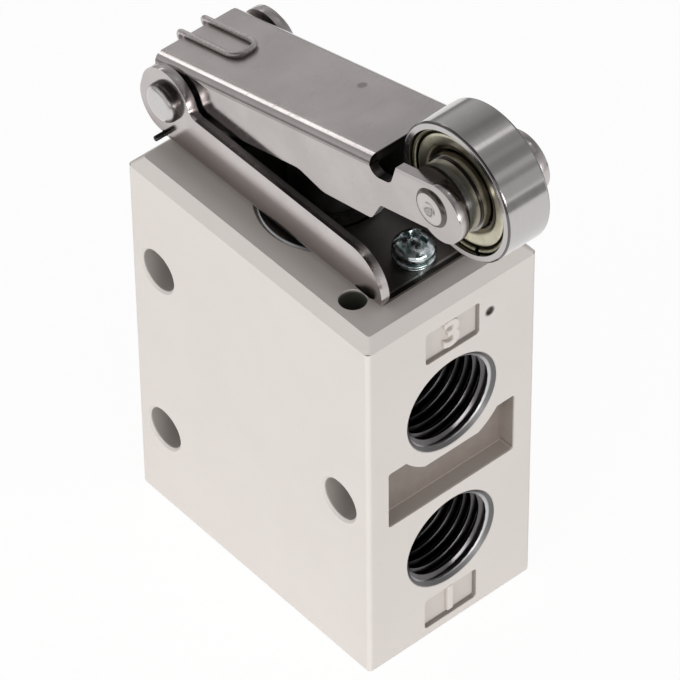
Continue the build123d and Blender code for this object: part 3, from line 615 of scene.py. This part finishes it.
def turned_metal(name, colour, dark, roughness, axis, pitch=0.11, depth=0.004, mouth=None, seat=False,
                 shade_bands=(), rim=None):
    """Metal turned in a lathe: fine rings round the axis, which follow from the distance to it and the place along
    it. A port has a mouth of this colour, painted shade on the lip at its outer edge and painted shade deeper in; a
    bearing ring has painted shade in its shield's seat and at its outer corners; shade bands are painted dark
    lines; and the rim beyond a radius has a colour of its own."""
    finish = Finish(name)
    places = finish.coordinates()
    centre, direction = axis
    square = [k for k in range(3) if abs(direction[k]) < 0.5]
    length = [k for k in range(3) if abs(direction[k]) > 0.5][0]
    first, second = [places[k] - float(centre[k]) for k in square]
    distance = span(first, second)
    outward = places[length].size()
    ring_place = finish.node("ShaderNodeCombineXYZ", {}, {0: distance, 1: places[length], 2: 0.0})
    rings = finish.node("ShaderNodeTexNoise", {}, {"Vector": ring_place, "Scale": 1 / pitch, "Detail": 3.0})
    wear = finish.grain(1.6, detail=4.0)
    tone = finish.mixed(rings * 0.5 + wear * 0.5, dark, colour)
    if mouth is not None:
        lip_shade = tuple(0.28 * part for part in mouth)
        # Painted shade deeper in the port
        tone = finish.mixed(outward.ramp(FRONT_X - 2.2, FRONT_X - 4.5) * 0.75, tone, (0.03, 0.03, 0.03))
        tone = finish.mixed(outward.ramp(FRONT_X - 0.95, FRONT_X - 0.8), tone, mouth)
        # Painted shade on the lip at the port's outer edge
        tone = finish.mixed(outward.ramp(FRONT_X - 0.5, FRONT_X - 0.35), tone, lip_shade)
        roughness = outward.ramp(FRONT_X - 1.0, FRONT_X - 0.8) * 0.2 + roughness
    if rim is not None:
        radius, edge = rim
        tone = finish.mixed(distance.ramp(radius - 0.08, radius + 0.08), tone, edge)
    # Shade bands: painted dark lines that stand in for the shade between neighbouring parts
    for low, high in shade_bands:
        shade_band = outward.ramp(low - 0.04, low + 0.04) * outward.ramp(high + 0.04, high - 0.04)
        tone = finish.mixed(shade_band, tone, (0.07, 0.06, 0.05))
    if seat:
        # Painted shade in the shield's seat
        in_seat = distance.ramp(SHIELD_SEAT_RADIUS + 0.06, SHIELD_SEAT_RADIUS) * outward.ramp(1.2, 1.3)
        tone = finish.mixed(in_seat, tone, (0.14, 0.13, 0.11))
        # Painted shade: the ring's rounded outer corners are dark
        corner = distance.ramp(BEARING_RADIUS - 0.26, BEARING_RADIUS - 0.2)
        corner = corner * outward.ramp(BEARING_HALF_WIDTH - 0.26, BEARING_HALF_WIDTH - 0.2)
        tone = finish.mixed(corner, tone, (0.16, 0.15, 0.145))
    return finish.paint(tone, wear * roughness * 0.5 + roughness * 0.8, rings, depth)


def zinc_plated():
    """Bright zinc with a bluish passivation and slightly uneven gloss."""
    finish = Finish("zinc_plated")
    film = finish.grain(0.9, detail=3.0)
    grain = finish.grain(0.12, detail=2.0)
    tone = finish.mixed(film.ramp(0.38, 0.6), (0.22, 0.29, 0.28), (0.72, 0.77, 0.8))
    return finish.paint(tone, 0.08 + film * 0.12, grain, 0.004)


def passivated_plate():
    """Thin pressed plate with a pale yellow film that pools a little darker in places, and shade along its outer
    and inner edges."""
    finish = Finish("passivated_plate")
    film = finish.grain(1.5, detail=3.0)
    grain = finish.grain(0.14, detail=2.0)
    tone = finish.mixed(film.ramp(0.3, 0.7), (0.5, 0.465, 0.33), (0.64, 0.61, 0.48))
    x, _, z = finish.coordinates()
    reach = span(x - float(AXLE[0]), z - float(AXLE[2]))
    tone = finish.mixed(reach.ramp(6.72, 6.82), tone, (0.13, 0.12, 0.08))
    tone = finish.mixed(reach.ramp(5.5, 5.25), tone, (0.12, 0.1, 0.06))
    return finish.paint(tone, 0.24 + film * 0.12, grain, 0.004)


def drawn_wire(name, colour, dark):
    """Drawn spring wire with fine scale on it."""
    finish = Finish(name)
    scale = finish.grain(0.35, detail=4.0)
    grain = finish.grain(0.08, detail=2.0)
    return finish.paint(finish.mixed(scale.ramp(0.3, 0.7), dark, colour), 0.26 + scale * 0.16, grain, 0.004)


def seal_rubber():
    """Black rubber with a bloom of dust."""
    finish = Finish("seal_rubber", metallic=0.0)
    bloom = finish.grain(0.8, detail=4.0)
    grain = finish.grain(0.1, detail=2.0)
    return finish.paint(finish.mixed(bloom, (0.018, 0.018, 0.018), (0.05, 0.049, 0.048)), 0.55, grain, 0.006)


# Painted shade on the rounded edge around the axle and pin heads
HEAD_EDGE_SHADE = (0.14, 0.125, 0.12)
painted = painted_casting()
lever_sheet = rolled_sheet("lever_sheet", lever_shade)
bracket_sheet = rolled_sheet("bracket_sheet", bracket_shade)
zinc = zinc_plated()
shield_plate = passivated_plate()
bright_wire = drawn_wire("spring_wire", (0.64, 0.6, 0.59), (0.48, 0.45, 0.44))
snap_wire = drawn_wire("snap_ring_wire", (0.42, 0.4, 0.3), (0.26, 0.24, 0.17))
dark_wire = drawn_wire("dark_spring_wire", (0.1, 0.095, 0.09), (0.04, 0.038, 0.036))
rubber = seal_rubber()
bearing_steel = turned_metal(
    "ground_steel", (0.56, 0.54, 0.535), (0.48, 0.46, 0.455), 0.14, (AXLE, Y), pitch=0.3, depth=0.002, seat=True
)
# Inner ring and cage: a darker steel, as painted shade between the shields
inner_steel = turned_metal("inner_steel", (0.4, 0.38, 0.36), (0.28, 0.265, 0.25), 0.2, (AXLE, Y))
# Spacer: a faintly blue steel that offsets the yellow reflected onto it from the shields, with shade bands painted
# as dark lines
spacer_steel = turned_metal(
    "spacer_steel", (0.64, 0.63, 0.66), (0.5, 0.49, 0.51), 0.2, (AXLE, Y), shade_bands=((4.75, 5.3), (3.0, 3.3))
)
axle_steel = turned_metal(
    "axle_steel", (0.62, 0.59, 0.57), (0.52, 0.49, 0.48), 0.22, (AXLE, Y), rim=(1.95, HEAD_EDGE_SHADE)
)
pin_steel = turned_metal(
    "pin_steel", (0.66, 0.64, 0.63), (0.54, 0.52, 0.51), 0.24, (PIVOT, Y), rim=(2.3, HEAD_EDGE_SHADE)
)
stack_metal = turned_metal("turned_aluminium", (0.76, 0.76, 0.77), (0.62, 0.62, 0.63), 0.24, ((0, 0, 0), Z))
# Guide bush: its top is near black, a painted dark reflection of the bracket above it, with a light lip beyond its
# rim
bush_metal = turned_metal(
    "guide_bush_metal", (0.12, 0.115, 0.11), (0.07, 0.066, 0.06), 0.24, ((0, 0, 0), Z), rim=(8.22, (0.7, 0.7, 0.71))
)
# The plunger is given a dark grey
rod_metal = turned_metal("dark_grey_rod", (0.2, 0.2, 0.2), (0.11, 0.11, 0.11), 0.3, ((0, 0, 0), Z))
# Port threads: a dark grey that stands in for the shade inside each port (painted shade), with a lighter mouth
port_metal = {
    level: turned_metal(
        f"port_thread_metal_{k + 1}", (0.17, 0.16, 0.165), (0.08, 0.075, 0.08), 0.2, ((0, 0, level), X),
        mouth=(0.58, 0.57, 0.57),
    )
    for k, level in enumerate((OUTLET_Z - PORT_PITCH, OUTLET_Z, OUTLET_Z + PORT_PITCH))
}

NODE_FINISHES = {
    "body": painted,
    "lever": lever_sheet,
    "bracket": bracket_sheet,
    "pivot_pin": pin_steel,
    "pin_clip": bright_wire,
    "roller_axle": axle_steel,
    "roller_spacer_near": spacer_steel,
    "roller_spacer_far": spacer_steel,
    "bearing_inner_ring": inner_steel,
    "bearing_outer_ring": bearing_steel,
    "bearing_balls": bearing_steel,
    "bearing_cage": inner_steel,
    "bearing_snap_ring_near": snap_wire,
    "bearing_snap_ring_far": snap_wire,
    "bracket_washer_front": zinc,
    "bracket_washer_rear": zinc,
    "guide_bush": bush_metal,
    "bottom_spacer": stack_metal,
    "supply_cage": stack_metal,
    "outlet_cage": stack_metal,
    "exhaust_cage": stack_metal,
    "spool": stack_metal,
    "plunger": rod_metal,
    "return_spring": bright_wire,
    "bush_seal": rubber,
    "plunger_seal": rubber,
    "spool_seal_1": rubber,
    "spool_seal_2": rubber,
    "spool_seal_3": rubber,
    "spool_seal_4": rubber,
    "bearing_shield_near": shield_plate,
    "bearing_shield_far": shield_plate,
    "bracket_screw_front": zinc,
    "bracket_screw_rear": zinc,
    "torsion_spring": bright_wire,
}


# Ports: a thread inside each, with the drilled end behind it

THREAD_ROOT = 6.54
THREAD_CREST = 5.76
THREAD_PITCH = 1.337
THREAD_DEPTH = 9.2
THREAD_START = 0.15
CREST_FLAT = 0.14
FLANK = 0.7
MOUTH_ROOM = 0.14
PORT_WALL = 6.565
PORT_FLOOR = 9.93
PASSAGE_RADIUS = 3.1


def threaded_port(name, side, level, material):
    """Inside of a threaded port. At depth d and angle a its radius is the root's less the thread's height times
    a flat-topped triangle wave of d / pitch - a / turn, but at least that of the cone that leads in from the
    mouth. Behind it a cone narrows to the passage, and a plain wall closes the sleeve."""
    depth = np.linspace(0.04, THREAD_DEPTH, 330)
    angle = np.linspace(0, TURN, 112, endpoint=False)
    phase = (depth[:, None] / THREAD_PITCH - angle / TURN + THREAD_START) % 1
    ridge = np.clip((1 - np.abs(2 * phase - 1) - CREST_FLAT) / FLANK, 0, 1)
    radius = THREAD_ROOT - (THREAD_ROOT - THREAD_CREST) * ridge
    radius = np.maximum(radius, THREAD_ROOT + MOUTH_ROOM - 1.15 * depth[:, None])
    radius = np.minimum(radius, THREAD_ROOT + MOUTH_ROOM - 0.3 * depth[:, None].clip(0, 0.4))
    tail = np.array([
        [4.6, THREAD_DEPTH + 0.3], [PASSAGE_RADIUS, PORT_FLOOR], [PORT_WALL, PORT_FLOOR], [PORT_WALL, 0.2],
    ])
    radius = np.vstack([radius, np.repeat(tail[:, :1], len(angle), 1)])
    depth = np.r_[depth, tail[:, 1]]
    grid = np.empty((*radius.shape, 3))
    grid[..., 0] = side * (FRONT_X - depth[:, None])
    grid[..., 1] = radius * np.cos(angle)
    grid[..., 2] = level + radius * np.sin(angle)
    piece = skin(name, grid, rows_meet=True, sharp=50.0)
    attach(dress(piece, material), "valve_block")


for port_name, port_side, port_level in (
    ("port_thread_supply", 1, OUTLET_Z - PORT_PITCH),
    ("port_thread_outlet", -1, OUTLET_Z),
    ("port_thread_exhaust", 1, OUTLET_Z + PORT_PITCH),
):
    threaded_port(port_name, port_side, port_level, port_metal[port_level])


# Plain port numbers, raised from the floor of the two label panels

NUMERAL_HEIGHT = 3.8
NUMERAL_RAISE = 0.5
NUMERAL_ROUND = 0.09
CAPITAL_SHARE = 1.42


def raised_numeral(name, figure, level):
    """Plain figure that stands on a panel's floor and faces the way the ports do."""
    curve = bpy.data.curves.new(name, "FONT")
    curve.body = figure
    curve.align_x = "CENTER"
    curve.align_y = "CENTER"
    curve.size = NUMERAL_HEIGHT * CAPITAL_SHARE * MM
    curve.extrude = NUMERAL_RAISE / 2 * MM
    curve.bevel_depth = NUMERAL_ROUND * MM
    curve.bevel_resolution = 2
    curve.offset = 0.06 * MM
    text = bpy.data.objects.new(name + "_text", curve)
    bpy.context.scene.collection.objects.link(text)
    bpy.context.view_layer.update()
    mesh = bpy.data.meshes.new_from_object(text.evaluated_get(bpy.context.evaluated_depsgraph_get()))
    bpy.data.objects.remove(text)
    floor = FRONT_X - PANEL_DEPTH + NUMERAL_RAISE / 2 - 0.02
    mesh.transform(Matrix([(0, 0, 1, floor * MM), (1, 0, 0, 0), (0, 1, 0, level * MM), (0, 0, 0, 1)]))
    mesh.name = name
    piece = bpy.data.objects.new(name, mesh)
    bpy.context.scene.collection.objects.link(piece)
    mesh.shade_smooth()
    mesh.set_sharp_from_angle(angle=math.radians(35))
    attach(dress(piece, painted), "valve_block")


raised_numeral("port_numeral_supply", "1", PANEL_LOW_Z)
raised_numeral("port_numeral_exhaust", "3", PANEL_HIGH_Z)


# Bracket screws: domed heads with a cross recess

SCREW_HEAD_RADIUS = 2.5
SCREW_HEAD_HEIGHT = 2.5
SCREW_DOME = 1.5
SCREW_RIM = SCREW_HEAD_HEIGHT - SCREW_DOME
SCREW_SHANK_RADIUS = 1.47
SCREW_LENGTH = 8.0
SCREW_HEAD_Z = BRACKET_TOP + 1.0
CROSS_HALF_WIDTH = 0.42
CROSS_REACH = 1.62
CROSS_DEPTH = 0.95
CROSS_POCKET = 0.85


def bracket_screw(name, node, x, twist):
    """Screw on a polar grid. The height of the head is a dome, less a cross recess whose depth falls off across
    and along its arms, with a round pocket at its middle. Then come the head's side, the shank and its foot."""
    angle = np.linspace(0, TURN, 144, endpoint=False)
    r = np.linspace(0, 1, 44)[:, None] ** 0.9 * (SCREW_HEAD_RADIUS - 0.15)
    dome = SCREW_HEAD_HEIGHT - SCREW_DOME * (r / SCREW_HEAD_RADIUS) ** 2.2
    u, v = r * np.cos(angle - twist), r * np.sin(angle - twist)

    def arm(across, along):
        width = np.clip((CROSS_HALF_WIDTH - np.abs(across)) / 0.16, 0, 1)
        length = np.clip((CROSS_REACH - np.abs(along)) / 0.5, 0, 1)
        return width * length

    cross = np.maximum(arm(u, v), arm(v, u))
    pocket = np.clip((CROSS_POCKET - r) / 0.35, 0, 1)
    height = dome - CROSS_DEPTH * np.maximum(cross, pocket)
    side = eased(
        [(SCREW_HEAD_RADIUS - 0.06, SCREW_RIM), (SCREW_HEAD_RADIUS, SCREW_RIM - 0.2),
         (SCREW_HEAD_RADIUS, 0.3), (SCREW_HEAD_RADIUS - 0.25, 0), (SCREW_SHANK_RADIUS, 0),
         (SCREW_SHANK_RADIUS, 0.6 - SCREW_LENGTH), (SCREW_SHANK_RADIUS - 0.5, -SCREW_LENGTH), (0, -SCREW_LENGTH)],
        0.12,
    )
    radius = np.vstack([np.repeat(r, len(angle), 1), np.repeat(side[:, :1], len(angle), 1)])
    height = np.vstack([height, np.repeat(side[:, 1:], len(angle), 1)])
    grid = np.stack([x + radius * np.cos(angle), radius * np.sin(angle), SCREW_HEAD_Z + height], -1)
    piece = skin(name, grid, sharp=40.0)
    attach(dress(piece, zinc), "valve_block")
    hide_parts(node)


def rounded_washer(name, node, x):
    """Washer with a spring washer on it: one round-edged section carried round the screw."""
    section = eased(
        [(1.6, 0), (2.25, 0), (2.3, 0.2), (2.15, 0.36), (2.15, 0.42), (2.45, 0.48), (2.58, 0.74), (2.4, 1.0),
         (1.6, 1.0)],
        (0.05, 0.1, 0.12, 0.08, 0.02, 0.08, 0.14, 0.12, 0.05), closed=True,
    )
    piece = turned(name, section, BRACKET_TOP * Z + x * X, Z, steps=96)
    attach(dress(piece, zinc), "valve_block")
    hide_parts(node)


bracket_screw("zinc_screw_front", "bracket_screw_front", SCREW_X, 0.55)
bracket_screw("zinc_screw_rear", "bracket_screw_rear", -SCREW_X, 1.2)
rounded_washer("zinc_washer_front", "bracket_washer_front", SCREW_X)
rounded_washer("zinc_washer_rear", "bracket_washer_rear", -SCREW_X)


# Axle: a riveted head with a centre mark outside each fork arm

ARM_INSIDE = 5.2
ARM_OUTSIDE = LEVER_HALF_WIDTH
AXLE_RADIUS = 2.99
NECK_RADIUS = 2.0


def riveted_axle():
    """Axle: the profile of half its length, from the centre mark out over the head and down the neck to the
    shaft, and its mirror image, carried round its axis."""
    half = eased(
        [(0, ARM_OUTSIDE - 0.3), (0.85, ARM_OUTSIDE + 0.42), (1.35, ARM_OUTSIDE + 0.48), (2.1, ARM_OUTSIDE + 0.36),
         (2.4, ARM_OUTSIDE), (NECK_RADIUS, ARM_OUTSIDE), (NECK_RADIUS, ARM_INSIDE), (AXLE_RADIUS, ARM_INSIDE),
         (AXLE_RADIUS, 0)],
        (0, 0.3, 0.5, 0.3, 0.05, 0.05, 0.05, 0.05, 0), steps=6,
    )
    mirrored = half[-2::-1] * np.array([1, -1])
    piece = turned("riveted_axle", np.vstack([half, mirrored]), AXLE, Y, steps=96, closed=False, sharp=40.0)
    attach(dress(piece, axle_steel), "lever")
    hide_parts("roller_axle")


riveted_axle()


# Bearing shields, pressed from thin plate


def pressed_shield(name, node, side):
    """Shield: a pressed profile carried round the axle. From the outer edge in, a rim on its seat, a low rib, a
    flat band and an edge that dips towards the balls."""
    outer = [(7.58, 1.76), (7.58, 2.02), (6.95, 2.0), (6.82, 2.26), (6.55, 2.32), (5.55, 2.2), (5.2, 2.0),
             (4.8, 1.96), (4.76, 1.8)]
    inner = [(5.16, 1.76), (5.5, 1.94), (6.45, 2.04), (6.66, 1.96), (6.76, 1.78)]
    profile = eased(outer + inner, 0.12, closed=True)
    piece = turned(name, profile, AXLE, side * Y, steps=144)
    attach(dress(piece, shield_plate), "roller")
    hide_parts(node)


pressed_shield("pressed_shield_near", "bearing_shield_near", -1)
pressed_shield("pressed_shield_far", "bearing_shield_far", 1)


# Torsion spring: its coils and loop swing with the lever, its legs stay in the ears

WIRE_RADIUS = 0.35
COIL_RADIUS = 2.4
COIL_PITCH = 0.82
COIL_TURNS = 3
LOOP_HALF_WIDTH = 1.75
LOOP_BACK = -4.2
LOOP_FRONT = 6.4
WIRE_LIFT = 0.05
LEG_PLACE = PIVOT * X - 0.4 * X + (BRACKET_TOP + WIRE_RADIUS + WIRE_LIFT) * Z
LEG_END_Y = 9.4
LEG_OVERLAP = 0.9
SPRING_LEAN = 0.95 * UPWARD + np.array([0.0074, 0.3022, 0.0184])
LEG_LEAN = np.array([0.8, 0.31, -0.5])


def tangent_angle(place, side):
    """Angle, from +X towards +Z, of the coil's place whose tangent reaches this one."""
    arm = place - PIVOT
    return math.atan2(arm[2], arm[0]) + side * math.acos(COIL_RADIUS / math.hypot(arm[0], arm[2]))


def drift(place):
    """How far the wire moves along Y from the coil to this place."""
    arm = place - PIVOT
    run = math.sqrt(arm[0] ** 2 + arm[2] ** 2 - COIL_RADIUS**2)
    return run * COIL_PITCH / (TURN * COIL_RADIUS)


def coil(start, end, y_start, y_end):
    """Helix round the pivot: the angle and the place along Y grow together."""
    share = np.linspace(0, 1, max(8, int(abs(end - start) / 0.09)))[:, None]
    angle = start + share * (end - start)
    spoke = np.cos(angle) * X + np.sin(angle) * Z
    return PIVOT + COIL_RADIUS * spoke + (y_start + share * (y_end - y_start)) * Y


def spring_pieces():
    """One wire for both coils and the loop over the lever, and one for each leg, which starts inside its coil so
    that no gap opens when the lever turns."""
    height = LEVER_TOP + WIRE_RADIUS + WIRE_LIFT
    corner = PIVOT + LOOP_BACK * ALONG + height * UPWARD
    nose = PIVOT + LOOP_FRONT * ALONG + height * UPWARD
    loop_angle, leg_angle = tangent_angle(corner, 1), tangent_angle(LEG_PLACE, -1)
    turns = COIL_TURNS - (loop_angle - leg_angle) % TURN / TURN
    end_angle = loop_angle - turns * TURN
    inner_y = LOOP_HALF_WIDTH + drift(corner)
    outer_y = inner_y + turns * COIL_PITCH
    leg_y = outer_y + drift(LEG_PLACE)
    far = coil(end_angle, loop_angle, outer_y, inner_y)
    near = coil(loop_angle, end_angle, -inner_y, -outer_y)
    shift = LOOP_HALF_WIDTH * Y
    loop = eased(
        [far[-1], corner + shift, nose + shift, nose - shift, corner - shift, near[0]], [0, 0.9, 1.9, 1.9, 0.9, 0],
        steps=14,
    )
    path = spaced(np.vstack([far, loop[1:-1], near]), 0.16)
    spring = wire("torsion_coil_and_loop", path, WIRE_RADIUS, SPRING_LEAN)
    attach(dress(spring, bright_wire), "lever")
    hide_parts("torsion_spring")
    inside_y = outer_y - LEG_OVERLAP * COIL_PITCH / TURN
    for side, end_name in ((-1, "near"), (1, "far")):
        inside = coil(end_angle + LEG_OVERLAP, end_angle, side * inside_y, side * outer_y)
        leg = eased([inside[-1], LEG_PLACE + side * leg_y * Y, LEG_PLACE + side * LEG_END_Y * Y], 0.7, steps=10)
        path = spaced(np.vstack([inside, leg[1:]]), 0.14)
        piece = wire(f"torsion_leg_{end_name}", path, WIRE_RADIUS - 0.01, LEG_LEAN)
        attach(dress(piece, dark_wire), "valve_block")


spring_pieces()


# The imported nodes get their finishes, and stamped sheet gets its slightly rounded edges

for node_name, finish_material in NODE_FINISHES.items():
    dress(nodes[node_name], finish_material)
for sheet_name in ("lever", "bracket"):
    soften(nodes[sheet_name])

place_camera()
make_sky()
make_floor()
make_lamp("left_lamp", 4, 8.0, mirrored=False)
make_lamp("right_lamp", 84, 6.1)
bpy.context.scene.view_settings.view_transform = "Standard"
